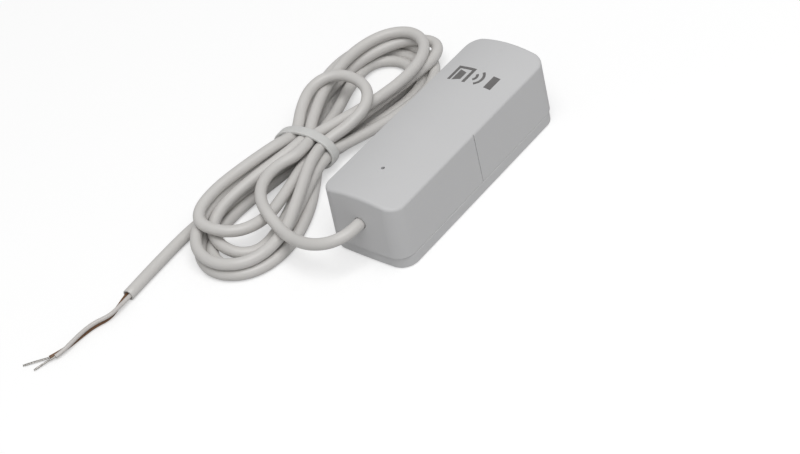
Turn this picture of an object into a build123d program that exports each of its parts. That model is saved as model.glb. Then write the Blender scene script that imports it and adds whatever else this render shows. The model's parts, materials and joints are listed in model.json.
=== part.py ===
from build123d import *
import math
import os

# Wired door contact sensor: a housing on a base plate, its cable in a tied hank beside it.
# Millimetres. Origin: middle of the underside of the base plate.
# +X runs along the housing away from the cable, +Y towards the hank, +Z up.

# Housing
HOUSING_LENGTH = 80.0
HOUSING_WIDTH = 28.8
EDGE_HEIGHT = 22.0  # where the crowned top would meet the side walls
CROWN_RISE = 2.4
CORNER_RADIUS = 5.4
END_BULGE = 0.4
WALL_DRAFT = 1.2  # degrees
WALL = 2.0
TOP_FILLET = 1.0
PARTING_HEIGHT = 4.0
PARTING_CHAMFER = 0.2
MARK_WIDTH = 0.35
MARK_DEPTH = 0.25
PINHOLE_X = -25.8
PINHOLE_RADIUS = 0.6

# Base plate
BASE_END_INSET = 0.65
BASE_FLOOR = 2.4
BASE_WALL = 3.2
BASE_EDGE_CHAMFER = 0.4
RIM_THICKNESS = 1.2
RIM_TOP = 6.0
SLIDING_GAP = 0.08
TONGUE_WIDTH = 6.0
TONGUE_TOP = 9.0
TONGUE_X = 21.0
SCREW_SPACING = 50.0
SCREW_HOLE_RADIUS = 2.1
COUNTERSINK_RADIUS = 4.0

# Cable and its hole
CABLE_RADIUS = 1.85
CABLE_HEIGHT = 14.4
CABLE_HOLE_RADIUS = 2.0
STUB_OUTER_X = -39.9
STUB_INNER_X = -27.5
CORE_RADIUS = 0.65
STRAND_RADIUS = 0.4

# Circuit board
BOARD_LENGTH = 58.0
BOARD_WIDTH = 19.0
BOARD_BOTTOM = 16.4
BOARD_THICKNESS = 1.6
BOARD_TOP = BOARD_BOTTOM + BOARD_THICKNESS
BOSS_RADIUS = 2.4
BOSS_X = (-14.0, 24.0)
PILOT_RADIUS = 0.85
SHANK_RADIUS = 0.8
LEAD_RADIUS = 0.25
LEAD_HOLE_RADIUS = 0.35
LEAD_TIP_Z = BOARD_BOTTOM - 0.7
JOINT_RADIUS = 0.9
AXIAL_PITCH = 8.0
AXIAL_PARTS = {"series": (-4.0, 4.6), "end_of_line": (8.0, 4.6), "suppressor": (8.0, -3.4)}
CORE_PAD_X = STUB_INNER_X + 8.4
CORE_PAD_Y = 4.6

# Reed switch
REED_Y = -7.2
REED_Z = 14.9
REED_HALF_LENGTH = 7.0
REED_GLASS_RADIUS = 1.1
REED_GLASS_BORE = 0.75
REED_SEAL = 1.2
REED_LEAD_X = 11.5
BLADE_WIDTH = 0.9
BLADE_THICKNESS = 0.2
BLADE_GAP = 0.12
BLADE_OVERLAP = 0.8
BLADE_PIVOT_X = 5.6

# Strain relief
CLAMP_X = -33.0
CLAMP_LENGTH = 4.0
CLAMP_WIDTH = 16.0
CLAMP_SCREW_Y = 5.4
CLAMP_BAR_BOTTOM = 11.0

# Tie round the hank: its middle, its turn about Z, its lean along the hank and its roll
TIE_CENTRE = (-12.9, 43.9, 6.9)
TIE_YAW = 10.0
TIE_LEAN = 8.0
TIE_ROLL = 8.0
TIE_HALF_WIDTH = 9.7
TIE_HALF_HEIGHT = 5.4
TIE_BAND_WIDTH = 3.6
TIE_BAND_THICKNESS = 1.0
TIE_GAP = 0.05
TIE_HEAD_LENGTH = 5.4
TIE_HEAD_WIDTH = 5.2
TIE_HEAD_HEIGHT = 3.6
TIE_HEAD_ANGLE = -40.0
TIE_HEAD_TURN = 34.0

# The cable's route from the housing to the hank: straight out, round and down onto the turns
LEAD_ROUTE = [
    (STUB_OUTER_X, 0.0, CABLE_HEIGHT),
    (-44.2, 0.0, CABLE_HEIGHT),
    (-48.4, 1.8, 14.0),
    (-51.0, 5.2, 13.1),
    (-51.9, 9.8, 11.8),
    (-51.5, 14.8, 10.5),
    (-50.3, 19.9, 9.4),
    (-48.5, 24.8, 8.8),
]

# Plan outlines of the hank's two ends and of the small turn that lies on top
LOWER_OUTLINE = [
    (-10, 36.0), (-20, 33.5), (-30, 28.5), (-40, 23.4), (-50, 20.0), (-59, 20.6), (-66, 27.0),
    (-69, 37.0), (-67, 48.5), (-59, 57.5), (-48, 61.7), (-35, 61.2), (-21, 57.6), (-10, 54.0),
]
UPPER_OUTLINE = [
    (-14, 37.0), (-5, 33.0), (7, 29.0), (20, 29.4), (34, 32.5), (46, 34.5), (53.5, 41.0),
    (53.8, 51.0), (48.5, 59.5), (39, 64.4), (27, 65.0), (12, 62.2), (-2, 57.6), (-14, 53.0),
]
SMALL_OUTLINE = [
    (-12, 36.0), (0, 32.5), (11, 34.5), (19, 42.0), (21.4, 51.5), (16, 58.6), (3, 57.8), (-12, 52.5),
]
LOWER_TOP = 9.4
UPPER_TOP = 8.6
SMALL_TOP = 12.4

# The tail lies on the surface and ends where the jacket is stripped
TAIL_START = (-54.0, 57.4, CABLE_RADIUS)
TAIL_END = (-86.4, 55.6, CABLE_RADIUS)

# The two cores leave the jacket side by side and come down to the surface
CORE_OFFSET = 0.7
CORE_ROUTE = [
    (-86.4, 55.6, CABLE_RADIUS),
    (-91.6, 55.3, 1.8),
    (-97.2, 56.1, 1.2),
    (-103.2, 57.6, 0.68),
    (-109.5, 58.0, 0.68),
    (-115.5, 59.2, 0.68),
]
STRAND_TIPS = {"brown": (-122.6, 65.4, 0.45), "white": (-123.2, 60.6, 0.45)}

os.makedirs("parts", exist_ok=True)


def save(shape, node):
    export_step(shape, "parts/" + node + ".step")


def disc(radius, x, y, bottom, top):
    """Upright cylinder between two heights."""
    return Pos(x, y, (bottom + top) / 2) * Cylinder(radius, top - bottom)


def block(x_range, y_range, z_range):
    """Box between pairs of limits."""
    size = [high - low for low, high in (x_range, y_range, z_range)]
    middle = [(high + low) / 2 for low, high in (x_range, y_range, z_range)]
    return Pos(*middle) * Box(*size)


def rod(radius, x_range, y, z):
    """Cylinder along X."""
    middle = (x_range[0] + x_range[1]) / 2
    return Pos(middle, y, z) * Rot(0, 90, 0) * Cylinder(radius, x_range[1] - x_range[0])


def corner_radii(points):
    """Largest tangent arc that each corner's two runs allow."""
    vectors = [Vector(*point) for point in points]
    radii = []
    for before, corner, after in zip(vectors, vectors[1:], vectors[2:]):
        arriving = corner - before
        leaving = after - corner
        half_turn = math.radians(arriving.get_angle(leaving)) / 2
        radii.append(0.45 * min(arriving.length, leaving.length) / math.tan(half_turn))
    return radii


def tube(points, radius, label=None):
    """Round tube along straight runs joined by tangent arcs."""
    radii = corner_radii(points)
    path = FilletPolyline(*points, radius=radii)
    section = Plane(origin=path @ 0, z_dir=path % 0) * Circle(radius)
    solid = sweep(section, path=path)
    if label:
        expected = math.pi * radius ** 2 * path.length
        print(label, "radii", [round(value, 1) for value in radii], "length", round(path.length, 1),
              "volume", round(solid.volume, 1), "expected", round(expected, 1))
    return solid


def wire_lead(points):
    """Bent component lead with small tight corners."""
    path = FilletPolyline(*points, radius=0.4)
    return sweep(Plane(origin=path @ 0, z_dir=path % 0) * Circle(LEAD_RADIUS), path=path)


def footprint(length, width, radius, bulge=END_BULGE):
    """Rounded rectangle whose two short sides bow outwards."""
    x = length / 2
    y = width / 2
    sides = [
        Line((-x, -y), (x, -y)),
        ThreePointArc((x, -y), (x + bulge, 0), (x, y)),
        Line((x, y), (-x, y)),
        ThreePointArc((-x, y), (-x - bulge, 0), (-x, -y)),
    ]
    face = make_face(Curve() + sides)
    return fillet(face.vertices(), radius)


def crowned_block(inset, bottom):
    """Drafted block under a crowned top, set in from the housing's outside by inset."""
    taper_loss = 2 * bottom * math.tan(math.radians(WALL_DRAFT))
    face = footprint(HOUSING_LENGTH - 2 * inset - taper_loss, HOUSING_WIDTH - 2 * inset - taper_loss,
                     CORNER_RADIUS - inset)
    walls = extrude(Pos(0, 0, bottom) * face, amount=EDGE_HEIGHT + CROWN_RISE - bottom, taper=WALL_DRAFT)
    half_width = HOUSING_WIDTH / 2
    crown_radius = (half_width ** 2 + CROWN_RISE ** 2) / (2 * CROWN_RISE)
    crown_axis = EDGE_HEIGHT + CROWN_RISE - crown_radius
    return walls & rod(crown_radius - inset, (-HOUSING_LENGTH, HOUSING_LENGTH), 0, crown_axis)


def make_housing_shell():
    outside = crowned_block(0, PARTING_HEIGHT)
    crown = outside.faces().sort_by(Axis.Z)[-1]
    outside = fillet(crown.edges(), TOP_FILLET)
    parting = outside.faces().sort_by(Axis.Z)[0]
    outside = chamfer(parting.edges(), PARTING_CHAMFER)
    cavity = crowned_block(WALL, PARTING_HEIGHT - 0.5)
    shell = outside - cavity
    inner_half_width = HOUSING_WIDTH / 2 - WALL
    roof = crowned_block(WALL / 2, PARTING_HEIGHT)
    saddle = block((CLAMP_X - CLAMP_LENGTH / 2, CLAMP_X + CLAMP_LENGTH / 2),
                   (-CLAMP_WIDTH / 2, CLAMP_WIDTH / 2), (CABLE_HEIGHT + 0.05, EDGE_HEIGHT + CROWN_RISE))
    shell += saddle & roof
    for x in BOSS_X:
        shell += disc(BOSS_RADIUS, x, 0, BOARD_TOP, EDGE_HEIGHT + CROWN_RISE) & roof
    # Two ribs locate the board's long edges.
    for side in (-1, 1):
        rib_y = sorted((side * (BOARD_WIDTH / 2 + 0.1), side * (inner_half_width + 0.5)))
        for x in (-6.0, 6.0):
            shell += block((x - 0.6, x + 0.6), rib_y, (BOARD_BOTTOM, EDGE_HEIGHT)) & roof
    shell -= rod(CABLE_RADIUS, (CLAMP_X - CLAMP_LENGTH, CLAMP_X + CLAMP_LENGTH), 0, CABLE_HEIGHT)
    shell -= rod(CABLE_HOLE_RADIUS, (-HOUSING_LENGTH / 2 - 2, -HOUSING_LENGTH / 2 + WALL + 1), 0, CABLE_HEIGHT)
    shell -= disc(PINHOLE_RADIUS, PINHOLE_X, 0, EDGE_HEIGHT - 1, EDGE_HEIGHT + CROWN_RISE + 1)
    for x in BOSS_X:
        shell -= disc(PILOT_RADIUS, x, 0, BOARD_TOP - 1, BOARD_TOP + 3.4)
    for y in (-CLAMP_SCREW_Y, CLAMP_SCREW_Y):
        shell -= disc(PILOT_RADIUS, CLAMP_X, y, CABLE_HEIGHT - 1, CABLE_HEIGHT + 5)
    # Upright mark half way along the -Y side, on the reed switch's centre line.
    wall_y = -HOUSING_WIDTH / 2
    mark = block((-MARK_WIDTH / 2, MARK_WIDTH / 2), (wall_y - 2, wall_y + MARK_DEPTH),
                 (PARTING_HEIGHT - 1, EDGE_HEIGHT + 0.6))
    lean = Pos(0, wall_y, 0) * Rot(-WALL_DRAFT, 0, 0) * Pos(0, -wall_y, 0)
    shell -= lean * mark
    save(shell, "housing_shell")


def make_base_plate():
    length = HOUSING_LENGTH - 2 * BASE_END_INSET
    width = HOUSING_WIDTH - 2 * PARTING_HEIGHT * math.tan(math.radians(WALL_DRAFT))
    outside = extrude(footprint(length, width, CORNER_RADIUS), amount=PARTING_HEIGHT)
    plate = chamfer(outside.edges().group_by(Axis.Z)[0], BASE_EDGE_CHAMFER)
    plate = chamfer(plate.edges().group_by(Axis.Z)[-1], PARTING_CHAMFER)
    pocket = footprint(length - 2 * BASE_WALL, width - 2 * BASE_WALL, CORNER_RADIUS - BASE_WALL)
    plate -= extrude(Pos(0, 0, BASE_FLOOR) * pocket, amount=PARTING_HEIGHT)
    # A rim round the pocket slides up inside the shell.
    taper = 2 * RIM_TOP * math.tan(math.radians(WALL_DRAFT))
    rim_inset = 2 * (WALL + SLIDING_GAP) + taper
    rim_radius = CORNER_RADIUS - WALL - SLIDING_GAP
    rim_outer = footprint(HOUSING_LENGTH - rim_inset, HOUSING_WIDTH - rim_inset, rim_radius)
    thick = 2 * RIM_THICKNESS
    rim_inner = footprint(HOUSING_LENGTH - rim_inset - thick, HOUSING_WIDTH - rim_inset - thick,
                          rim_radius - RIM_THICKNESS)
    plate += extrude(Pos(0, 0, PARTING_HEIGHT - 1) * (rim_outer - rim_inner),
                     amount=RIM_TOP - PARTING_HEIGHT + 1)
    # Four straight tongues stand on the rim.
    tongue_lean = (TONGUE_TOP - RIM_TOP) * math.tan(math.radians(WALL_DRAFT))
    outer_y = (HOUSING_WIDTH - rim_inset) / 2 - tongue_lean
    for x in (-TONGUE_X, TONGUE_X):
        for side in (-1, 1):
            y_range = sorted((side * (outer_y - RIM_THICKNESS), side * outer_y))
            x_range = (x - TONGUE_WIDTH / 2, x + TONGUE_WIDTH / 2)
            plate += block(x_range, y_range, (PARTING_HEIGHT - 0.5, TONGUE_TOP))
    for x in (-SCREW_SPACING / 2, SCREW_SPACING / 2):
        plate -= disc(SCREW_HOLE_RADIUS, x, 0, -1, BASE_FLOOR + 1)
        depth = COUNTERSINK_RADIUS - SCREW_HOLE_RADIUS
        sink = Cone(SCREW_HOLE_RADIUS, COUNTERSINK_RADIUS, depth)
        plate -= Pos(x, 0, BASE_FLOOR - depth / 2) * sink
    save(plate, "base_plate")


def lead_holes():
    """Places of the component leads through the board."""
    holes = [(-REED_LEAD_X, REED_Y), (REED_LEAD_X, REED_Y)]
    holes += [(PINHOLE_X, y) for y in (-1.27, 1.27)]
    for x, y in AXIAL_PARTS.values():
        holes += [(x - AXIAL_PITCH / 2, y), (x + AXIAL_PITCH / 2, y)]
    return holes


def make_circuit_board():
    board = block((-BOARD_LENGTH / 2, BOARD_LENGTH / 2), (-BOARD_WIDTH / 2, BOARD_WIDTH / 2),
                  (BOARD_BOTTOM, BOARD_TOP))
    board = fillet(board.edges().filter_by(Axis.Z), 1.5)
    for x in BOSS_X:
        board -= disc(1.0, x, 0, BOARD_BOTTOM - 1, BOARD_TOP + 1)
    for x, y in lead_holes():
        board -= disc(LEAD_HOLE_RADIUS, x, y, BOARD_BOTTOM - 1, BOARD_TOP + 1)
    save(board, "circuit_board")


def make_screws():
    heads = []
    for x in BOSS_X:
        head = fillet(disc(1.7, x, 0, BOARD_BOTTOM - 1.2, BOARD_BOTTOM).edges().sort_by(Axis.Z)[0], 0.4)
        slot = block((x - 1.0, x + 1.0), (-0.25, 0.25), (BOARD_BOTTOM - 2, BOARD_BOTTOM - 0.7))
        cross = block((x - 0.25, x + 0.25), (-1.0, 1.0), (BOARD_BOTTOM - 2, BOARD_BOTTOM - 0.7))
        heads.append(head - slot - cross + disc(SHANK_RADIUS, x, 0, BOARD_BOTTOM - 0.5, BOARD_TOP + 3.0))
    save(Compound(children=heads), "board_screws")
    screws = []
    for y in (-CLAMP_SCREW_Y, CLAMP_SCREW_Y):
        low = CLAMP_BAR_BOTTOM - 1.2
        head = fillet(disc(1.7, CLAMP_X, y, low, CLAMP_BAR_BOTTOM).edges().sort_by(Axis.Z)[0], 0.4)
        slot = block((CLAMP_X - 1.0, CLAMP_X + 1.0), (y - 0.25, y + 0.25), (low - 1, low + 0.5))
        cross = block((CLAMP_X - 0.25, CLAMP_X + 0.25), (y - 1.0, y + 1.0), (low - 1, low + 0.5))
        screws.append(head - slot - cross + disc(SHANK_RADIUS, CLAMP_X, y, low + 0.7, CABLE_HEIGHT + 4.5))
    save(Compound(children=screws), "clamp_screws")


def make_clamp_bar():
    bar = block((CLAMP_X - CLAMP_LENGTH / 2, CLAMP_X + CLAMP_LENGTH / 2),
                (-CLAMP_WIDTH / 2, CLAMP_WIDTH / 2), (CLAMP_BAR_BOTTOM, CABLE_HEIGHT - 0.05))
    bar = fillet(bar.edges().filter_by(Axis.Z), 1.0)
    bar -= rod(CABLE_RADIUS, (CLAMP_X - CLAMP_LENGTH, CLAMP_X + CLAMP_LENGTH), 0, CABLE_HEIGHT)
    for y in (-CLAMP_SCREW_Y, CLAMP_SCREW_Y):
        bar -= disc(0.95, CLAMP_X, y, CLAMP_BAR_BOTTOM - 1, CABLE_HEIGHT + 1)
    save(bar, "strain_relief_bar")


def make_led():
    lens = disc(1.9, PINHOLE_X, 0, BOARD_TOP, BOARD_TOP + 0.9)
    lens += disc(1.5, PINHOLE_X, 0, BOARD_TOP, BOARD_TOP + 2.4)
    dome = Pos(PINHOLE_X, 0, BOARD_TOP + 2.4) * Sphere(1.5)
    lens += dome & block((PINHOLE_X - 2, PINHOLE_X + 2), (-2, 2), (BOARD_TOP + 2.4, BOARD_TOP + 5))
    save(lens, "led_lens")
    leads = [disc(LEAD_RADIUS, PINHOLE_X, y, LEAD_TIP_Z, BOARD_TOP) for y in (-1.27, 1.27)]
    save(Compound(children=leads), "led_leads")


def axial_leads(x, y, body_half, centre_z):
    """The two bent leads of a part that lies along X on the board."""
    leads = []
    for side in (-1, 1):
        start = (x + side * body_half, y, centre_z)
        bend = (x + side * AXIAL_PITCH / 2, y, centre_z)
        leads.append(wire_lead([start, bend, (bend[0], y, LEAD_TIP_Z)]))
    return leads


def make_axial_parts():
    centre_z = BOARD_TOP + 1.1
    bodies = []
    leads = []
    for name in ("series", "end_of_line"):
        x, y = AXIAL_PARTS[name]
        body = rod(0.75, (x - 2.0, x + 2.0), y, centre_z)
        for end in (-1.45, 1.45):
            body += fillet(rod(0.95, (x + end - 0.55, x + end + 0.55), y, centre_z).edges(), 0.3)
        bodies.append(body)
        leads += axial_leads(x, y, 2.0, centre_z)
    save(Compound(children=bodies), "resistor_bodies")
    save(Compound(children=leads), "resistor_leads")
    x, y = AXIAL_PARTS["suppressor"]
    body = fillet(rod(1.0, (x - 1.9, x + 1.9), y, centre_z).edges(), 0.35)
    save(body, "suppressor_body")
    save(Compound(children=axial_leads(x, y, 1.9, centre_z)), "suppressor_leads")


def make_reed_switch():
    glass = rod(REED_GLASS_RADIUS, (-REED_HALF_LENGTH, REED_HALF_LENGTH), REED_Y, REED_Z)
    glass = fillet(glass.edges(), 0.6)
    bore_end = REED_HALF_LENGTH - REED_SEAL
    glass -= rod(REED_GLASS_BORE, (-bore_end, bore_end), REED_Y, REED_Z)
    glass -= rod(LEAD_RADIUS + 0.02, (-REED_HALF_LENGTH - 1, REED_HALF_LENGTH + 1), REED_Y, REED_Z)
    save(glass, "reed_glass")
    y_range = (REED_Y - BLADE_WIDTH / 2, REED_Y + BLADE_WIDTH / 2)
    upper = (REED_Z + BLADE_GAP / 2, REED_Z + BLADE_GAP / 2 + BLADE_THICKNESS)
    lower = (REED_Z - BLADE_GAP / 2 - BLADE_THICKNESS, REED_Z - BLADE_GAP / 2)
    seal_end = bore_end - 0.1
    # The fixed lead flattens into the upper blade inside the glass.
    fixed = wire_lead([(-seal_end, REED_Y, REED_Z), (-REED_LEAD_X, REED_Y, REED_Z),
                       (-REED_LEAD_X, REED_Y, BOARD_TOP + 0.5)])
    fixed += block((-bore_end + 0.05, BLADE_OVERLAP), y_range, upper)
    fixed += block((-bore_end + 0.05, -bore_end + 0.6), (REED_Y - 0.2, REED_Y + 0.2),
                   (REED_Z - 0.2, upper[1]))
    save(fixed, "reed_fixed_blade")
    outer = wire_lead([(BLADE_PIVOT_X + 0.1, REED_Y, REED_Z), (REED_LEAD_X, REED_Y, REED_Z),
                       (REED_LEAD_X, REED_Y, BOARD_TOP + 0.5)])
    save(outer, "reed_outer_lead")
    blade = block((-BLADE_OVERLAP, BLADE_PIVOT_X), y_range, lower)
    save(blade, "reed_moving_blade")


def make_solder_joints():
    joints = []
    for x, y in lead_holes():
        cone = Pos(x, y, BOARD_BOTTOM - 0.3) * Cone(0.45, JOINT_RADIUS, 0.6)
        joints.append(cone - disc(LEAD_RADIUS + 0.005, x, y, BOARD_BOTTOM - 2, BOARD_BOTTOM + 1))
    for y in (-CORE_PAD_Y, CORE_PAD_Y):
        joints.append(Pos(CORE_PAD_X, y, BOARD_BOTTOM - 0.4) * Cone(0.8, 1.3, 0.8))
    save(Compound(children=joints), "solder_joints")


def make_inner_cable():
    stub = rod(CABLE_RADIUS, (STUB_OUTER_X, STUB_INNER_X), 0, CABLE_HEIGHT)
    save(stub, "cable_stub")
    for node, side in (("inner_core_brown", 1), ("inner_core_white", -1)):
        points = [
            (STUB_INNER_X, side * 0.75, CABLE_HEIGHT),
            (STUB_INNER_X + 2.5, side * 0.75, CABLE_HEIGHT),
            (STUB_INNER_X + 5.2, side * 2.0, CABLE_HEIGHT + 0.1),
            (STUB_INNER_X + 7.4, side * 3.6, CABLE_HEIGHT + 0.6),
            (CORE_PAD_X, side * CORE_PAD_Y, BOARD_BOTTOM - 0.9),
        ]
        save(tube(points, CORE_RADIUS), node)


def tie_frame():
    """Location of the tie's loop: local X along the hank, local Y across it."""
    return Pos(*TIE_CENTRE) * Rot(0, 0, TIE_YAW) * Rot(0, TIE_LEAN, 0) * Rot(TIE_ROLL, 0, 0)


def tie_head(grow):
    """The tie's locking head, on the low far side of the loop."""
    angle = math.radians(TIE_HEAD_ANGLE)
    reach = TIE_HEAD_HEIGHT / 2 + TIE_BAND_THICKNESS / 4
    y = (TIE_HALF_WIDTH + reach) * math.cos(angle)
    z = (TIE_HALF_HEIGHT + reach) * math.sin(angle)
    size = [side + 2 * grow for side in (TIE_HEAD_LENGTH, TIE_HEAD_WIDTH, TIE_HEAD_HEIGHT)]
    return tie_frame() * Pos(0, y, z) * Rot(TIE_HEAD_TURN, 0, 0) * Box(*size)


def tie_section(grow, half_length):
    """Elliptical prism along the hank at the tie."""
    face = Plane.YZ * Ellipse(TIE_HALF_WIDTH + grow, TIE_HALF_HEIGHT + grow)
    return tie_frame() * extrude(Pos(-half_length, 0, 0) * face, amount=2 * half_length)


def outline_solid(points, bottom, top):
    """Closed smooth outline in plan, as a slab."""
    face = make_face(Spline(*points, periodic=True))
    return extrude(Pos(0, 0, bottom) * face, amount=top - bottom)


def make_hank():
    lower = outline_solid(LOWER_OUTLINE, 0, LOWER_TOP)
    lower = fillet(lower.edges().group_by(Axis.Z)[-1], 2.5)
    upper = outline_solid(UPPER_OUTLINE, 0, UPPER_TOP)
    upper = fillet(upper.edges().group_by(Axis.Z)[-1], 2.5)
    small = outline_solid(SMALL_OUTLINE, 1.0, SMALL_TOP)
    small = fillet(small.edges().group_by(Axis.Z)[-1], 1.6)
    groove = tie_frame() * Box(TIE_BAND_WIDTH + 0.6, 60, 60)
    hank = (lower + upper + small) - groove - tie_head(0.3)
    hank += tie_section(-TIE_GAP, 5.0)
    hank = hank & block((-80, 60), (15, 70), (0, 20))
    save(hank, "cable_hank")


def make_tie():
    half = TIE_BAND_WIDTH / 2
    band = tie_section(TIE_BAND_THICKNESS, half) - tie_section(0, half + 1)
    head = fillet(tie_head(0).edges(), 0.4)
    tie = band + (head - tie_section(0, 10))
    save(tie, "cable_tie")


def make_cord():
    save(tube(LEAD_ROUTE, CABLE_RADIUS, "cable_lead"), "cable_lead")
    run = Vector(*TAIL_END) - Vector(*TAIL_START)
    tail = extrude(Plane(origin=TAIL_START, z_dir=run) * Circle(CABLE_RADIUS), amount=run.length)
    save(tail, "cable_tail")
    for node, side in (("brown", 1), ("white", -1)):
        points = [(x, y + side * CORE_OFFSET, z) for x, y, z in CORE_ROUTE]
        save(tube(points, CORE_RADIUS, node + "_core"), node + "_core")
        end = Vector(*points[-1])
        tip = Vector(*STRAND_TIPS[node])
        run = tip - end
        strands = extrude(Plane(origin=end, z_dir=run) * Circle(STRAND_RADIUS), amount=run.length)
        save(strands, node + "_strands")


make_housing_shell()
make_base_plate()
make_circuit_board()
make_screws()
make_clamp_bar()
make_led()
make_axial_parts()
make_reed_switch()
make_solder_joints()
make_inner_cable()
make_hank()
make_tie()
make_cord()
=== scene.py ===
import json
import math

import bmesh
import bpy
import numpy as np
from mathutils import Matrix, Vector
from mathutils.bvhtree import BVHTree


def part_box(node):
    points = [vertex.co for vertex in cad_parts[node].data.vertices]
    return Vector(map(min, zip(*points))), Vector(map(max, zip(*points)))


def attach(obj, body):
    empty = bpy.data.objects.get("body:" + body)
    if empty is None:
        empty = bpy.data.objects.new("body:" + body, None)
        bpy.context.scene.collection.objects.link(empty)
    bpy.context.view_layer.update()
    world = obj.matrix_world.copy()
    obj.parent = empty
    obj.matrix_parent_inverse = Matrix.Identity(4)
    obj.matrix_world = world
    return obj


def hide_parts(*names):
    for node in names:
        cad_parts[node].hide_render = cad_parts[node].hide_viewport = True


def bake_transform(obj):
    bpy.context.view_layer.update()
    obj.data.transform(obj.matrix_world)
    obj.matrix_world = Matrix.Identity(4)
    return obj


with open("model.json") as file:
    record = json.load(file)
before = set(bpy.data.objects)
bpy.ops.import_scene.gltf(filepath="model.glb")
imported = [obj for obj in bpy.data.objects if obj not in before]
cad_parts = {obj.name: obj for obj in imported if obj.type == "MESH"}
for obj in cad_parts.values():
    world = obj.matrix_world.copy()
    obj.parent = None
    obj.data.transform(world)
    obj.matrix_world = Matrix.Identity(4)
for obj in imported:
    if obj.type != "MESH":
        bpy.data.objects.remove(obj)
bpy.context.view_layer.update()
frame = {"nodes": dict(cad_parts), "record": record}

# A wired door contact on a pale floor: housing, base plate and the cable tied in a loose hank.
# Metres, in the row frame. Lengths given in millimetres are turned into metres by MM.
MM = 0.001

STUB_LOW, STUB_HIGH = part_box("cable_stub")
CABLE_RADIUS = (STUB_HIGH.y - STUB_LOW.y) / 2

# The studio: how bright the floor and the background look, and how strongly the background lights
FLOOR_COLOUR = (0.62, 0.62, 0.62)
FLOOR_GLOW = 0.46
FLOOR_HALF_SIZE = 6.0
BACKGROUND_LIGHT = 0.40


# ---------------------------------------------------------------- materials

def node_material(name, colour, roughness):
    """A material with a Principled shader, its node tree, and object coordinates to drive its textures."""
    made = bpy.data.materials.new(name)
    made.use_nodes = True
    tree = made.node_tree
    shader = tree.nodes["Principled BSDF"]
    shader.inputs["Base Color"].default_value = (*colour, 1)
    shader.inputs["Roughness"].default_value = roughness
    coordinates = tree.nodes.new("ShaderNodeTexCoord").outputs["Object"]
    return made, tree, shader, coordinates


def noise(tree, coordinates, feature, detail=3.0, stretch=None):
    """Noise whose features are that many metres across; stretch scales the coordinates first."""
    if stretch:
        mapping = tree.nodes.new("ShaderNodeMapping")
        mapping.inputs["Scale"].default_value = stretch
        tree.links.new(coordinates, mapping.inputs["Vector"])
        coordinates = mapping.outputs["Vector"]
    made = tree.nodes.new("ShaderNodeTexNoise")
    made.inputs["Scale"].default_value = 1 / feature
    made.inputs["Detail"].default_value = detail
    tree.links.new(coordinates, made.inputs["Vector"])
    return made.outputs["Fac"]


def spread(tree, value, low, high, start=0.3, end=0.7):
    """Maps a value from start..end to low..high."""
    made = tree.nodes.new("ShaderNodeMapRange")
    for key, number in (("From Min", start), ("From Max", end), ("To Min", low), ("To Max", high)):
        made.inputs[key].default_value = number
    tree.links.new(value, made.inputs["Value"])
    return made.outputs["Result"]


def tint(tree, shader, value, dark, light):
    """Drives the base colour between two colours."""
    made = tree.nodes.new("ShaderNodeMix")
    made.data_type = "RGBA"
    made.inputs["A"].default_value = (*dark, 1)
    made.inputs["B"].default_value = (*light, 1)
    tree.links.new(value, made.inputs["Factor"])
    tree.links.new(made.outputs["Result"], shader.inputs["Base Color"])


def bump(tree, shader, height, depth, strength=1.0, under=None):
    """Adds a bump of that depth in metres; under is the normal of a bump below it."""
    made = tree.nodes.new("ShaderNodeBump")
    made.inputs["Strength"].default_value = strength
    made.inputs["Distance"].default_value = depth
    tree.links.new(height, made.inputs["Height"])
    if under:
        tree.links.new(under, made.inputs["Normal"])
    tree.links.new(made.outputs["Normal"], shader.inputs["Normal"])
    return made.outputs["Normal"]


def scaled(colour, factor):
    return tuple(channel * factor for channel in colour)


def moulded(name, colour, roughness, grain, depth, cloud=0.02, variation=0.03, translucency=0.0):
    """Moulded plastic: a fine grain, a faint unevenness of colour and gloss over larger areas."""
    made, tree, shader, coordinates = node_material(name, colour, roughness)
    clouds = noise(tree, coordinates, cloud, 4)
    fine = noise(tree, coordinates, grain, 2)
    shade = spread(tree, clouds, 0, 1)
    tint(tree, shader, shade, scaled(colour, 1 - variation), scaled(colour, 1 + variation))
    tree.links.new(spread(tree, clouds, roughness - 0.05, roughness + 0.05), shader.inputs["Roughness"])
    low = bump(tree, shader, clouds, depth * 3, 0.4)
    bump(tree, shader, fine, depth, 1.0, low)
    if translucency:
        shader.inputs["Subsurface Weight"].default_value = translucency
        shader.inputs["Subsurface Radius"].default_value = (1.0, 0.95, 0.9)
        shader.inputs["Subsurface Scale"].default_value = 0.8 * MM
    return made


def metal(name, colour, roughness, grain, stretch):
    """Plated or tinned metal with fine marks along one direction."""
    made, tree, shader, coordinates = node_material(name, colour, roughness)
    shader.inputs["Metallic"].default_value = 1
    marks = noise(tree, coordinates, grain, 4, stretch)
    tint(tree, shader, spread(tree, marks, 0, 1), scaled(colour, 0.8), scaled(colour, 1.1))
    tree.links.new(spread(tree, marks, roughness - 0.08, roughness + 0.12), shader.inputs["Roughness"])
    bump(tree, shader, marks, 0.01 * MM, 0.6)
    return made


def glassy(name, colour, roughness, transmission):
    """Clear glass or tinted clear epoxy with a faint unevenness."""
    made, tree, shader, coordinates = node_material(name, colour, roughness)
    shader.inputs["Transmission Weight"].default_value = transmission
    shader.inputs["IOR"].default_value = 1.5
    waves = noise(tree, coordinates, 1.5 * MM, 2)
    tint(tree, shader, spread(tree, waves, 0, 1), scaled(colour, 0.9), colour)
    bump(tree, shader, waves, 0.01 * MM, 0.4)
    return made


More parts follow.
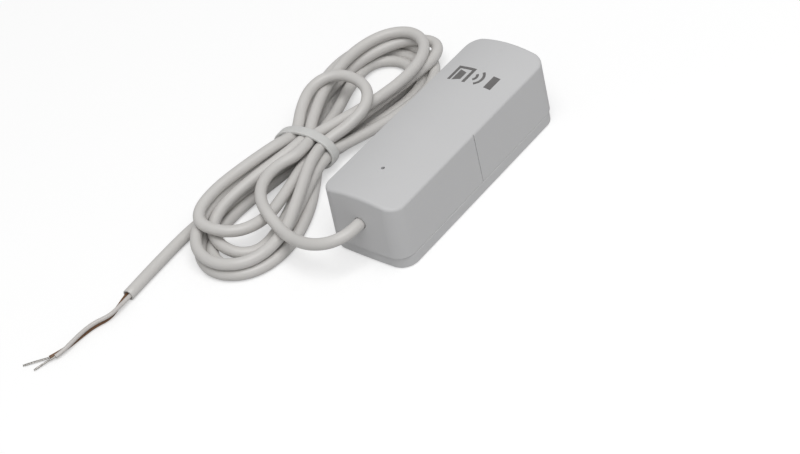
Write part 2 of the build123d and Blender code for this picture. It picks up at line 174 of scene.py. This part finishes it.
def board_material():
    """Green solder mask over glass weave."""
    made, tree, shader, coordinates = node_material("circuit_board", (0.02, 0.16, 0.07), 0.35)
    weave = tree.nodes.new("ShaderNodeTexChecker")
    weave.inputs["Scale"].default_value = 1 / (0.5 * MM)
    tree.links.new(coordinates, weave.inputs["Vector"])
    cloud = noise(tree, coordinates, 3 * MM, 5)
    tint(tree, shader, spread(tree, cloud, 0, 1), (0.015, 0.13, 0.055), (0.03, 0.2, 0.09))
    bump(tree, shader, weave.outputs["Fac"], 0.01 * MM, 0.3)
    return made


ABS = (0.62, 0.62, 0.625)
JACKET = (0.66, 0.645, 0.625)
NYLON = (0.68, 0.68, 0.665)
BROWN = (0.17, 0.08, 0.033)
CORE_WHITE = (0.61, 0.585, 0.565)
LACQUER = (0.5, 0.36, 0.2)
EPOXY = (0.03, 0.03, 0.033)
GREY_INK = (0.165, 0.16, 0.158)

MATERIALS = {
    "white_abs": moulded("white_abs", ABS, 0.55, 0.16 * MM, 0.006 * MM, 30 * MM, 0.012),
    "circuit_board": board_material(),
    "zinc_steel": metal("zinc_steel", (0.6, 0.61, 0.62), 0.3, 0.3 * MM, (1, 1, 6)),
    "nylon": moulded("nylon", NYLON, 0.38, 0.3 * MM, 0.012 * MM, 3 * MM, 0.03, 0.25),
    "led_lens": glassy("led_lens", (0.6, 0.03, 0.02), 0.08, 0.6),
    "tinned_copper": metal("tinned_copper", (0.62, 0.6, 0.57), 0.32, 0.2 * MM, (1, 6, 6)),
    "resistor_body": moulded("resistor_body", LACQUER, 0.4, 0.2 * MM, 0.01 * MM, 2 * MM, 0.08),
    "suppressor_body": moulded("suppressor_body", EPOXY, 0.3, 0.2 * MM, 0.008 * MM, 2 * MM, 0.1),
    "reed_glass": glassy("reed_glass", (0.7, 0.85, 0.74), 0.04, 0.9),
    "nickel_iron": metal("nickel_iron", (0.5, 0.48, 0.44), 0.35, 0.25 * MM, (6, 1, 1)),
    "solder": metal("solder", (0.66, 0.66, 0.67), 0.22, 0.5 * MM, (1, 1, 1)),
    "cable_jacket": moulded("cable_jacket", JACKET, 0.36, 0.35 * MM, 0.008 * MM, 7 * MM, 0.02, 0.08),
    "brown_core": moulded("brown_core", BROWN, 0.35, 0.2 * MM, 0.008 * MM, 3 * MM, 0.12),
    "white_core": moulded("white_core", CORE_WHITE, 0.35, 0.2 * MM, 0.008 * MM, 3 * MM, 0.03, 0.1),
}
INK = moulded("print_ink", GREY_INK, 0.45, 0.08 * MM, 0.004 * MM, 1.5 * MM, 0.12)
SLOTS = {row["node"]: row["material_slot"] for row in frame["record"]["subparts"]}


def finish_cad_nodes():
    """Every CAD node takes the procedural material of its slot."""
    for name, node in frame["nodes"].items():
        node.data.materials.clear()
        node.data.materials.append(MATERIALS[SLOTS[name]])


def make_piece(name, mesh, material, body=None):
    """A new piece with its material and slot. With no body it is left unattached."""
    piece = bpy.data.objects.new(name, mesh)
    bpy.context.scene.collection.objects.link(piece)
    mesh.materials.append(material)
    if body:
        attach(piece, body)
    return piece


# ---------------------------------------------------------------- lines and tubes

def nurbs_line(points, resolution):
    """Points read from the NURBS spline that has these control points."""
    curve = bpy.data.curves.new("line", "CURVE")
    curve.dimensions = "3D"
    curve.resolution_u = resolution
    spline = curve.splines.new("NURBS")
    spline.points.add(len(points) - 1)
    for point, place in zip(spline.points, points):
        point.co = (*place, 1)
    spline.order_u = 3
    spline.use_endpoint_u = True
    holder = bpy.data.objects.new("line", curve)
    mesh = bpy.data.meshes.new_from_object(holder)
    line = np.array([vertex.co for vertex in mesh.vertices], float)
    bpy.data.meshes.remove(mesh)
    bpy.data.objects.remove(holder)
    bpy.data.curves.remove(curve)
    return line


def line_frames(line):
    """Two directions across a line at each of its points, turning as little as they can."""
    tangent = np.gradient(line, axis=0)
    tangent /= np.linalg.norm(tangent, axis=1)[:, None]
    side = np.array([0.0, 0.0, 1.0])
    sides = []
    for direction in tangent:
        side = side - direction * (side @ direction)
        side /= np.linalg.norm(side)
        sides.append(side.copy())
    sides = np.array(sides)
    return sides, np.cross(tangent, sides)


def ring_mesh(name, rings, cap_start=True, cap_end=True):
    """A tube through rings of points, all of the same number; each end can be capped."""
    rings = np.asarray(rings, float)
    count, around = rings.shape[:2]
    index = np.arange(count * around).reshape(count, around)
    faces = []
    for low, high in zip(index[:-1], index[1:]):
        for k in range(around):
            after = (k + 1) % around
            faces.append((low[k], low[after], high[after], high[k]))
    if cap_start:
        faces.append(tuple(index[0][::-1]))
    if cap_end:
        faces.append(tuple(index[-1]))
    mesh = bpy.data.meshes.new(name)
    mesh.from_pydata([tuple(p) for p in rings.reshape(-1, 3)], [], [tuple(int(i) for i in f) for f in faces])
    mesh.shade_smooth()
    mesh.validate()
    return mesh


def circle_rings(line, radii, around=20):
    """Round rings along a line."""
    across, up = line_frames(line)
    angle = np.linspace(0, 2 * math.pi, around, endpoint=False)
    ring = np.cos(angle)[None, :, None] * across[:, None, :] + np.sin(angle)[None, :, None] * up[:, None, :]
    return line[:, None, :] + ring * np.asarray(radii)[:, None, None]


# ---------------------------------------------------------------- the tie's frame

def turned(axis, degrees):
    """Rotation about one axis as a 3 by 3 array."""
    return np.array(Matrix.Rotation(math.radians(degrees), 3, axis))


TIE_CENTRE = np.array([-12.9, 43.9, 6.9])
TIE_TURN = turned("Z", 10) @ turned("Y", 8) @ turned("X", 8)
TIE_HALF_WIDTH = 9.7
TIE_HALF_HEIGHT = 5.4
TIE_BAND_WIDTH = 3.6
TIE_BAND_THICKNESS = 1.0
TIE_HEAD_SIZE = (5.4, 5.2, 3.6)
TIE_HEAD_ANGLE = math.radians(-40)
TIE_HEAD_TURN = turned("X", 34)
TIE_ALONG = TIE_TURN @ np.array([1.0, 0, 0])
TIE_STEPS = 360
R = CABLE_RADIUS / MM

# The twelve places where the cable passes through the tie, as (across, up) in the tie's own frame
TIE_PLACES = {
    "T1": (2.6, 3.2), "T2": (-1.3, 3.2), "T3": (-5.2, 2.3),
    "M1": (6.4, 1.2), "M2": (3.1, -0.4), "M3": (-0.6, -0.4), "M4": (-4.2, -0.8), "M5": (-7.6, -0.4),
    "B1": (5.4, -2.8), "B2": (1.9, -3.3), "B3": (-1.9, -3.3), "B4": (-5.4, -2.9),
}


def tie_place(name):
    """One of the twelve places, in the row frame."""
    across, up = TIE_PLACES[name]
    return TIE_CENTRE + TIE_TURN @ np.array([0, across, up])


# ---------------------------------------------------------------- the cable, in millimetres

# From the housing over the hank to the tie; the first eight points are the CAD lead's route
LEAD_POINTS = [
    (-39.9, 0, 14.4), (-44.2, 0, 14.4), (-48.4, 1.8, 14.0), (-51.0, 5.2, 13.1), (-51.9, 9.8, 11.8),
    (-51.5, 14.8, 10.5), (-50.3, 19.9, 9.4), (-48.5, 24.8, 8.8), (-46.3, 30.6, 8.8), (-43.0, 36.7, 9.0),
    (-38.0, 41.6, 9.2), (-31.7, 44.3, 9.4), (-25.4, 44.2, 9.8), (-20.0, 41.9, 10.2),
]

# Each loop of the hank: where it leaves and re-enters the tie, its tip, the half width of its first and
# second leg, how far from the tie each leg is widest (larger is further), and the radius of the circle
# that its tip is widened to where it is narrower
LOOPS = [
    ("T2", "T1", (46.9, 45.5, 8.5), 16.0, 16.0, 1.3, 0.9, 0.0),
    ("T1", "B3", (-59.0, 35.5, 2.5), 19.0, 11.0, 2.0, 1.2, 9.0),
    ("B3", "M3", (42.0, 47.0, 1.7), 11.5, 9.0, 1.2, 2.0, 11.0),
    ("M3", "B4", (-66.2, 38.5, 2.2), 16.5, 17.0, 0.9, 1.2, 0.0),
    ("B4", "B2", (44.0, 49.0, 2.5), 20.0, 18.0, 2.0, 1.6, 0.0),
    ("B2", "M5", (-64.8, 38.4, 1.7), 13.0, 15.0, 1.2, 2.0, 0.0),
    ("M5", "M2", (46.5, 49.5, 4.0), 22.5, 15.0, 1.2, 1.2, 0.0),
    ("M2", "T3", (-66.4, 36.5, 5.0), 15.0, 16.0, 1.2, 2.0, 0.0),
    ("T3", "M1", (16.5, 47.0, 11.5), 13.0, 10.0, 0.9, 1.5, 0.0),
    ("M1", "M4", (-57.4, 48.0, 7.0), 7.0, 16.5, 2.0, 2.0, 0.0),
    ("M4", "B1", (49.5, 38.5, 6.0), 6.0, 17.0, 2.0, 0.9, 5.0),
]
LOOP_POINTS = 9
TIE_PASS = 3.0

# From the tie to the end of the jacket; the CAD tail runs from the third point to the last
TAIL_POINTS = [(-24, 50.5, 3.5), (-38, 55, 2.2), (-54, 57.4, 1.85), (-70, 56.9, 1.85), (-86.4, 55.6, 1.85)]

# How the cable settles: the first HELD_START and last HELD_END points stay, and what lies nearer than
# TOUCHING is pushed apart, unless it is the same stretch of cable. The tie holds it within TIE_GRIP of its
# middle, and near the tie it is stiff: it resists a bend tighter than TIGHTEST_BEND.
HELD_START = 8
HELD_END = 4
SAME_STRETCH = 8 * R
TOUCHING = 2.06 * R
LARGEST_PUSH = 0.8
TIE_GRIP = 3.5
TIE_HOLD = 0.7
TIGHTEST_BEND = 10.0
STIFFENED_REACH = 25.0
STIFFNESS = 0.3
STEP = 1.5
SMOOTHING = 0.12


def loop_points(enter, leave, tip, first_width, second_width, first_fullness, second_fullness, tip_radius):
    """Control points of one loop: out from the tie, round its tip and back."""
    tip = np.array(tip, float)
    side = math.copysign(TIE_PASS, tip[0] - TIE_CENTRE[0])
    start = tie_place(enter) + TIE_ALONG * side
    end = tie_place(leave) + TIE_ALONG * side
    reach = tip - (start + end) / 2
    across = np.array([reach[1], -reach[0], 0])
    across /= np.linalg.norm(across)
    points = [start]
    for step in range(1, LOOP_POINTS + 1):
        turn = 2 * math.pi * step / (LOOP_POINTS + 1)
        share = step / (LOOP_POINTS + 1)
        share = share * share * (3 - 2 * share)
        first_leg = turn < math.pi
        width, fullness = (first_width, first_fullness) if first_leg else (second_width, second_fullness)
        bulge = width * math.sin(turn) * math.sin(turn / 2) ** fullness
        short = np.linalg.norm(reach) * (1 + math.cos(turn)) / 2
        round_tip = math.sqrt(max(0, short * (2 * tip_radius - short)))
        bulge = math.copysign(max(abs(bulge), round_tip), math.sin(turn))
        out = reach * (1 - math.cos(turn)) / 2
        points.append(start * (1 - share) + end * share + out + across * bulge)
    points.append(end)
    return points


def cable_points():
    """The control points of the whole cable, before it settles."""
    points = [np.array(p, float) for p in LEAD_POINTS]
    points.append(tie_place(LOOPS[0][0]) - TIE_ALONG * TIE_PASS)
    for loop in LOOPS:
        points += loop_points(*loop)
    points.append(tie_place(LOOPS[-1][1]) - TIE_ALONG * TIE_PASS)
    points += [np.array(p, float) for p in TAIL_POINTS]
    return np.array(points)


def spline_weights(count, samples):
    """How much each control point of the quadratic spline counts at each sampled place."""
    spans = count - 2
    places = np.linspace(0, spans, spans * samples + 1)
    knots = np.concatenate([[0, 0], np.arange(spans + 1), [spans, spans]]).astype(float)
    weights = np.zeros((len(places), count))
    for row, place in enumerate(places):
        span = min(int(place), spans - 1)
        part = [1.0]
        for degree in (1, 2):
            wider = [0.0] * (degree + 1)
            for j in range(degree):
                low, high = knots[span + 3 - degree + j], knots[span + 3 + j]
                share = part[j] / (high - low)
                wider[j] += share * (high - place)
                wider[j + 1] += share * (place - low)
            part = wider
        weights[row, span:span + 3] = part
    return weights


def settle(points, rounds=200, samples=5):
    """Pushes the control points, a little each round, so that the cable lies on itself and the floor."""
    weights = spline_weights(len(points), samples)
    share = weights.sum(0)[:, None]
    rest = weights @ points
    along = np.concatenate([[0], np.cumsum(np.linalg.norm(np.diff(rest, axis=0), axis=1))])
    apart = np.abs(along[:, None] - along[None, :]) > SAME_STRETCH
    moved = np.zeros_like(points)
    for _ in range(rounds):
        line = rest + weights @ moved
        offset = line[:, None, :] - line[None, :, :]
        distance = np.sqrt((offset ** 2).sum(-1))
        touching = apart & (distance < TOUCHING)
        over = np.where(touching, (TOUCHING - distance) / np.maximum(distance, 0.001), 0)
        push = (offset * over[:, :, None]).sum(1) / 2
        push *= np.minimum(1, LARGEST_PUSH / np.maximum(np.linalg.norm(push, axis=1), 1e-6))[:, None]
        push[:, 2] += np.maximum(0, R - line[:, 2] - push[:, 2])
        local = (line + push - TIE_CENTRE) @ TIE_TURN
        limit = np.array([TIE_HALF_WIDTH - R, TIE_HALF_HEIGHT - R])
        out = np.linalg.norm(local[:, 1:] / limit, axis=1)
        held = (np.abs(local[:, 0]) < TIE_GRIP) & (out > 1)
        back = np.zeros_like(local)
        back[held, 1:] = local[held, 1:] * (1 / out[held, None] - 1)
        push += TIE_HOLD * back @ TIE_TURN.T
        moved += STEP * (weights.T @ push) / share
        moved[1:-1] += SMOOTHING * ((moved[:-2] + moved[2:]) / 2 - moved[1:-1])
        placed = points + moved
        bend = (placed[:-2] + placed[2:]) / 2 - placed[1:-1]
        depth = np.linalg.norm(bend, axis=1)
        allowed = ((placed[2:] - placed[:-2]) ** 2).sum(1) / (8 * TIGHTEST_BEND)
        excess = np.maximum(0, depth - allowed) / np.maximum(depth, 1e-6)
        near_tie = np.linalg.norm(placed[1:-1] - TIE_CENTRE, axis=1) < STIFFENED_REACH
        moved[1:-1] += STIFFNESS * bend * (excess * near_tie)[:, None]
        moved[:HELD_START] = 0
        moved[-HELD_END:] = 0
    return points + moved


def make_cable():
    """The whole visible jacket, from the housing's hole to where it is stripped."""
    line = nurbs_line(settle(cable_points()) * MM, 12)
    along = np.concatenate([[0], np.cumsum(np.linalg.norm(np.diff(line, axis=0), axis=1))])
    # The jacket's thickness varies a little, over a long wave and a short one
    uneven = 1 + 0.006 * np.sin(along / (9 * MM)) + 0.005 * np.sin(along / (3.7 * MM) + 1)
    rings = circle_rings(line, CABLE_RADIUS * uneven, 24)
    inward = line[-2] - line[-1]
    inward /= np.linalg.norm(inward)
    centre = line[-1]
    last = rings[-1] - centre
    # The cut end has a softened rim and a shallow recess
    lip = [centre + last * 0.95 - inward * 0.1 * MM, centre + last * 0.78 - inward * 0.1 * MM,
           centre + last * 0.74, centre + last * 0.73 + inward * 0.4 * MM]
    mesh = ring_mesh("cable", np.concatenate([rings, lip]), True, True)
    cable = make_piece("cable", mesh, MATERIALS["cable_jacket"])
    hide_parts("cable_lead", "cable_hank", "cable_tail")
    return cable, line


# ---------------------------------------------------------------- the tie

def tie_point(along, across, up):
    """A point of the tie's own frame, in metres in the row frame."""
    return (TIE_CENTRE + TIE_TURN @ np.array([along, across, up])) * MM


def band_section(step):
    """The band's section as (along, out) pairs: a crowned back, and teeth between two rails inside."""
    half = TIE_BAND_WIDTH / 2
    thick = TIE_BAND_THICKNESS
    inside, soft, rail, slope, edge = 0.05, 0.16, 0.6, 0.12, 0.05
    tooth = 0.3 if step % 4 < 2 else 0.16
    inner = [(half, inside + soft), (half - soft, inside), (half - rail, inside),
             (half - rail - slope, tooth)]
    outer = [(half, thick - soft), (half - edge, thick - edge), (half - soft, thick),
             (half - rail, thick + 0.03)]
    inner_left = [(-along, out) for along, out in inner]
    outer_left = [(-along, out) for along, out in outer]
    return inner_left + inner[::-1] + outer + [(0, thick + 0.04)] + outer_left[::-1]


def welded(mesh):
    """Joins points that coincide, and turns the faces outwards."""
    made = bmesh.new()
    made.from_mesh(mesh)
    bmesh.ops.remove_doubles(made, verts=made.verts, dist=1e-7)
    bmesh.ops.recalc_face_normals(made, faces=made.faces)
    made.to_mesh(mesh)
    made.free()
    mesh.shade_smooth()
    return mesh


def make_tie_band():
    """The nylon tie's band, tight round the twelve passes of the cable."""
    rings = []
    for step in range(TIE_STEPS):
        angle = 2 * math.pi * step / TIE_STEPS
        rings.append([tie_point(along, (TIE_HALF_WIDTH + out) * math.cos(angle),
                                (TIE_HALF_HEIGHT + out) * math.sin(angle))
                      for along, out in band_section(step)])
    rings.append(rings[0])
    mesh = welded(ring_mesh("cable_tie_band", rings, False, False))
    band = make_piece("cable_tie_band", mesh, MATERIALS["nylon"], "base")
    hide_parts("cable_tie")
    return band


def rounded_box(made, size, bevel, place):
    """Adds a box with rounded edges to a bmesh."""
    new = bmesh.ops.create_cube(made, size=1)["verts"]
    bmesh.ops.scale(made, vec=Vector(size), verts=new)
    edges = list({edge for vert in new for edge in vert.link_edges})
    out = bmesh.ops.bevel(made, geom=edges, offset=bevel, segments=3, profile=0.5, affect="EDGES",
                          clamp_overlap=True)
    verts = list({vert for face in out["faces"] for vert in face.verts} | {v for v in new if v.is_valid})
    bmesh.ops.transform(made, matrix=place, verts=verts)


def make_tie_head():
    """The head on the low far side of the band: a block round the slot that the band's end went through."""
    long, wide, high = TIE_HEAD_SIZE
    reach = high / 2 + TIE_BAND_THICKNESS / 4
    centre = np.array([0, (TIE_HALF_WIDTH + reach) * math.cos(TIE_HEAD_ANGLE),
                       (TIE_HALF_HEIGHT + reach) * math.sin(TIE_HEAD_ANGLE)])
    turn = Matrix((TIE_TURN @ TIE_HEAD_TURN).tolist()).to_4x4()
    head_place = Matrix.Translation(Vector(TIE_CENTRE + TIE_TURN @ centre) * MM) @ turn
    slot = TIE_BAND_THICKNESS + 0.3
    side = (long - TIE_BAND_WIDTH - 0.2) / 2
    made = bmesh.new()
    # Two cheeks beside the slot, a cap over it, a sole under it and the trimmed end of the band in it
    for sign in (-1, 1):
        cheek = Matrix.Translation(Vector((sign * (long - side) / 2, 0, 0)) * MM)
        rounded_box(made, [side * MM, wide * MM, high * MM], 0.3 * MM, head_place @ cheek)
        wall = Matrix.Translation(Vector((0, 0, sign * (high + slot) / 4)) * MM)
        size = [(long - side) * MM, (wide - 0.1) * MM, (high - slot) / 2 * MM - 0.05 * MM]
        rounded_box(made, size, 0.2 * MM, head_place @ wall)
    end = Matrix.Translation(Vector((0, wide * 0.1, 0)) * MM)
    size = [TIE_BAND_WIDTH * MM, wide * 1.15 * MM, TIE_BAND_THICKNESS * 0.9 * MM]
    rounded_box(made, size, 0.12 * MM, head_place @ end)
    mesh = bpy.data.meshes.new("cable_tie_head")
    made.to_mesh(mesh)
    made.free()
    mesh.shade_smooth()
    return make_piece("cable_tie_head", mesh, MATERIALS["nylon"], "base")


# ---------------------------------------------------------------- cores and bare strands

# The middle line of the two cores from inside the jacket, and how far the white one is turned about it:
# 0 puts it towards -Y, 90 on top of the brown one and 180 towards +Y
CORE_ROUTE = [
    (-82.4, 55.9, 1.85, 0), (-86.4, 55.6, 1.85, 5), (-91.6, 55.0, 1.6, 45), (-96.0, 54.9, 1.4, 70),
    (-100.2, 56.9, 1.4, 80), (-104.5, 57.6, 1.4, 80), (-109.5, 57.9, 1.3, 60), (-113.2, 58.3, 1.1, 35),
    (-117.0, 59.6, 0.9, 8),
]
# The second point of that route is at the end of the jacket
CORE_RADIUS = 0.65
CORE_OFFSET = 0.68
STRIPPED_LENGTH = {"brown": 0.0, "white": 1.3}
STRAND_TIPS = {"brown": (-122.6, 65.6, 0.42), "white": (-122.4, 61.2, 0.42)}
CORE_SIDES = {"brown": -1, "white": 1}
WIRE_RADIUS = 0.1
WIRES = 7
WIRE_TURNS = 2.6


def core_line(colour):
    """The line of one core, wound about the pair's middle line."""
    side = CORE_SIDES[colour]
    points = []
    for x, y, z, turn in CORE_ROUTE:
        angle = math.radians(turn)
        across = side * CORE_OFFSET * math.cos(angle)
        rise = side * CORE_OFFSET * math.sin(angle)
        points.append((x, y - across, max(z, CORE_RADIUS + abs(rise)) + rise))
    line = nurbs_line(np.array(points) * MM, 14)
    left = np.cumsum(np.linalg.norm(np.diff(line[::-1], axis=0), axis=1))[::-1]
    return line[:-1][left > STRIPPED_LENGTH[colour] * MM]


def make_wires(colour, end, back):
    """The bare wires of one core, twisted and a little spread at their tip."""
    tip = np.array(STRAND_TIPS[colour]) * MM
    middle = (end + tip) / 2 + np.array([0, 0.25 * MM, 0])
    line = nurbs_line([end + back * 1.5 * MM, end, middle, tip], 16)
    across, up = line_frames(line)
    share = np.linspace(0, 1, len(line))
    made = bmesh.new()
    for wire in range(WIRES):
        out = 0.0 if wire == WIRES - 1 else 2.05 * WIRE_RADIUS * MM
        turn = wire * 2 * math.pi / (WIRES - 1) + share * 2 * math.pi * WIRE_TURNS
        loose = 1 + 0.3 * share ** 3 * (0.4 + 0.6 * math.sin(3 * wire) ** 2)
        path = line + (across * np.cos(turn)[:, None] + up * np.sin(turn)[:, None]) * (out * loose)[:, None]
        kept = len(path) - int(3 * abs(math.sin(wire * 2.1)))
        part = ring_mesh("wire", circle_rings(path[:kept], np.full(kept, WIRE_RADIUS * MM), 8))
        made.from_mesh(part)
        bpy.data.meshes.remove(part)
    mesh = bpy.data.meshes.new(colour + "_bare_wires")
    made.to_mesh(mesh)
    made.free()
    mesh.shade_smooth()
    wires = make_piece(colour + "_bare_wires", mesh, MATERIALS["tinned_copper"], "base")
    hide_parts(colour + "_strands")
    return wires


def make_core(colour):
    """One insulated core with its stripped end."""
    line = core_line(colour)
    rings = circle_rings(line, np.full(len(line), CORE_RADIUS * MM), 20)
    centre = line[-1]
    last = rings[-1] - centre
    back = (line[-2] - line[-1]) / np.linalg.norm(line[-2] - line[-1])
    # The cut insulation has a softened rim and a hole round the wires
    lip = [centre + last * 0.92 - back * 0.08 * MM, centre + last * 0.7 - back * 0.08 * MM,
           centre + last * 0.62 + back * 1.0 * MM]
    slot = colour + "_core"
    core = make_piece(colour + "_core_insulation", ring_mesh(slot, np.concatenate([rings, lip])),
                      MATERIALS[slot], "base")
    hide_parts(slot)
    wires = make_wires(colour, centre, back)


# ---------------------------------------------------------------- the printed pictogram

# Ink on the top, with its middle in plan. It reads with +X up and -Y to the right, in millimetres.
PICTOGRAM_CENTRE = (21.0, 0.2)
INK_THICKNESS = 0.03


def top_height():
    """A function that gives the height of the housing's outside at a place in plan."""
    shell = frame["nodes"]["housing_shell"].data
    tree = BVHTree.FromPolygons([v.co for v in shell.vertices], [tuple(p.vertices) for p in shell.polygons])
    return lambda x, y: tree.ray_cast(Vector((x, y, 0.1)), Vector((0, 0, -1)))[0].z


def add_ink(made, place, cells, height):
    """Adds a thin patch of ink on the top; place gives (right, up) for two shares from 0 to 1."""
    across, down = cells
    low, high = {}, {}
    for i in range(across + 1):
        for j in range(down + 1):
            right, up = place(i / across, j / down)
            x, y = (PICTOGRAM_CENTRE[0] + up) * MM, (PICTOGRAM_CENTRE[1] - right) * MM
            z = height(x, y)
            low[i, j] = made.verts.new((x, y, z - 0.02 * MM))
            high[i, j] = made.verts.new((x, y, z + INK_THICKNESS * MM))
    for i in range(across):
        for j in range(down):
            corners = [(i, j), (i + 1, j), (i + 1, j + 1), (i, j + 1)]
            made.faces.new([high[c] for c in corners])
            made.faces.new([low[c] for c in reversed(corners)])
    rim = [(i, 0) for i in range(across)] + [(across, j) for j in range(down)]
    rim += [(i, down) for i in range(across, 0, -1)] + [(0, j) for j in range(down, 0, -1)]
    for here, after in zip(rim, rim[1:] + rim[:1]):
        made.faces.new([low[here], low[after], high[after], high[here]])


def quad(a, b, c, d):
    """A place function for a four-sided patch, from its corners."""
    a, b, c, d = (np.array(corner, float) for corner in (a, b, c, d))
    return lambda s, t: (a * (1 - s) + b * s) * (1 - t) + (d * (1 - s) + c * s) * t


def bar(left, right, bottom, top):
    return quad((left, bottom), (right, bottom), (right, top), (left, top))


def arc(centre, inner, outer, half_angle):
    """A place function for an arc that opens to the right."""
    def place(s, t):
        radius = inner + (outer - inner) * s
        angle = half_angle * (2 * t - 1)
        return centre + radius * math.cos(angle), radius * math.sin(angle)
    return place


def make_pictogram():
    """A generic mark: a door ajar in its frame, two radiating arcs and the block that they reach."""
    height = top_height()
    half_angle = math.radians(48)
    patches = [
        (bar(-7.8, -6.7, -3.5, 3.5), (3, 12)),
        (bar(-6.7, -2.3, 2.4, 3.5), (8, 3)),
        (bar(-2.3, -1.2, -3.5, 3.5), (3, 12)),
        (quad((-6.1, -3.5), (-3.4, -2.5), (-3.4, 0.9), (-6.1, 1.8)), (6, 10)),
        (arc(-0.9, 1.4, 2.3, half_angle), (3, 14)),
        (arc(-0.9, 3.5, 4.4, half_angle), (3, 22)),
        (bar(5.4, 7.8, -2.9, 2.9), (5, 12)),
    ]
    made = bmesh.new()
    for place, cells in patches:
        add_ink(made, place, cells, height)
    bmesh.ops.recalc_face_normals(made, faces=made.faces)
    mesh = bpy.data.meshes.new("door_pictogram")
    made.to_mesh(mesh)
    made.free()
    make_piece("door_pictogram", mesh, INK, "housing")


# ---------------------------------------------------------------- stage, light and camera

def emission_for_camera(tree, shader_output, brightness):
    """Adds a glow that only the camera sees, so that the stage stays pale without lighting the object."""
    path = tree.nodes.new("ShaderNodeLightPath")
    glow = tree.nodes.new("ShaderNodeEmission")
    amount = tree.nodes.new("ShaderNodeMath")
    amount.operation = "MULTIPLY"
    amount.inputs[1].default_value = brightness
    tree.links.new(path.outputs["Is Camera Ray"], amount.inputs[0])
    tree.links.new(amount.outputs[0], glow.inputs["Strength"])
    both = tree.nodes.new("ShaderNodeAddShader")
    tree.links.new(shader_output, both.inputs[0])
    tree.links.new(glow.outputs[0], both.inputs[1])
    return both.outputs[0]


def make_stage():
    """The floor under the object, and the world that lights it."""
    mesh = bpy.data.meshes.new("floor")
    size = FLOOR_HALF_SIZE
    corners = [(-size, -size, 0), (size, -size, 0), (size, size, 0), (-size, size, 0)]
    mesh.from_pydata(corners, [], [(0, 1, 2, 3)])
    floor = bpy.data.objects.new("floor", mesh)
    bpy.context.scene.collection.objects.link(floor)
    made, tree, shader, _ = node_material("floor", FLOOR_COLOUR, 0.9)
    shader.inputs["Specular IOR Level"].default_value = 0.1
    output = tree.nodes["Material Output"]
    glowing = emission_for_camera(tree, shader.outputs[0], FLOOR_GLOW)
    tree.links.new(glowing, output.inputs["Surface"])
    mesh.materials.append(made)
    floor.location.z = -0.00002
    world = bpy.data.worlds.new("studio")
    bpy.context.scene.world = world
    world.use_nodes = True
    tree = world.node_tree
    back = tree.nodes["Background"]
    back.inputs["Color"].default_value = (1, 1, 1, 1)
    path = tree.nodes.new("ShaderNodeLightPath")
    level = tree.nodes.new("ShaderNodeMapRange")
    level.inputs["To Min"].default_value = BACKGROUND_LIGHT
    level.inputs["To Max"].default_value = 1.0
    tree.links.new(path.outputs["Is Camera Ray"], level.inputs["Value"])
    tree.links.new(level.outputs["Result"], back.inputs["Strength"])


def make_light(name, direction, distance, size, power):
    """A soft square light looking at the object from a direction."""
    data = bpy.data.lights.new(name, "AREA")
    data.shape = "SQUARE"
    data.size = size
    data.energy = power
    light = bpy.data.objects.new(name, data)
    bpy.context.scene.collection.objects.link(light)
    direction = Vector(direction).normalized()
    light.location = Vector((0, 0.02, 0)) + direction * distance
    light.rotation_mode = "QUATERNION"
    light.rotation_quaternion = direction.to_track_quat("Z", "Y")


def make_camera():
    """Looks down at the housing from its cable end and its -Y side."""
    azimuth, elevation, roll = math.radians(-44.83), math.radians(40.34), math.radians(-13.10)
    distance = 0.6361
    target = Vector((0, 0, 0.011))
    target_right, target_up = 0.01252, 0.02287
    back = Vector((math.sin(azimuth) * math.cos(elevation), -math.cos(azimuth) * math.cos(elevation),
                   math.sin(elevation)))
    level_right = Vector((0, 0, 1)).cross(back).normalized()
    level_up = back.cross(level_right)
    right = level_right * math.cos(roll) + level_up * math.sin(roll)
    up = level_up * math.cos(roll) - level_right * math.sin(roll)
    data = bpy.data.cameras.new("camera")
    data.sensor_width = 36
    data.lens = 94.86
    data.clip_start = 0.01
    camera = bpy.data.objects.new("camera", data)
    bpy.context.scene.collection.objects.link(camera)
    camera.matrix_world = Matrix((right, up, back)).transposed().to_4x4()
    camera.location = target + back * distance - right * target_right - up * target_up
    bpy.context.scene.camera = camera


finish_cad_nodes()
make_core("brown")
make_core("white")
cable, cable_line = make_cable()
tie_band = make_tie_band()
tie_head = make_tie_head()
make_pictogram()

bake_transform(cable)

make_stage()
make_light("key", direction=(-0.17, -0.31, 0.93), distance=1.2, size=0.9, power=8.5)
make_camera()
bpy.context.scene.view_settings.view_transform = "Standard"
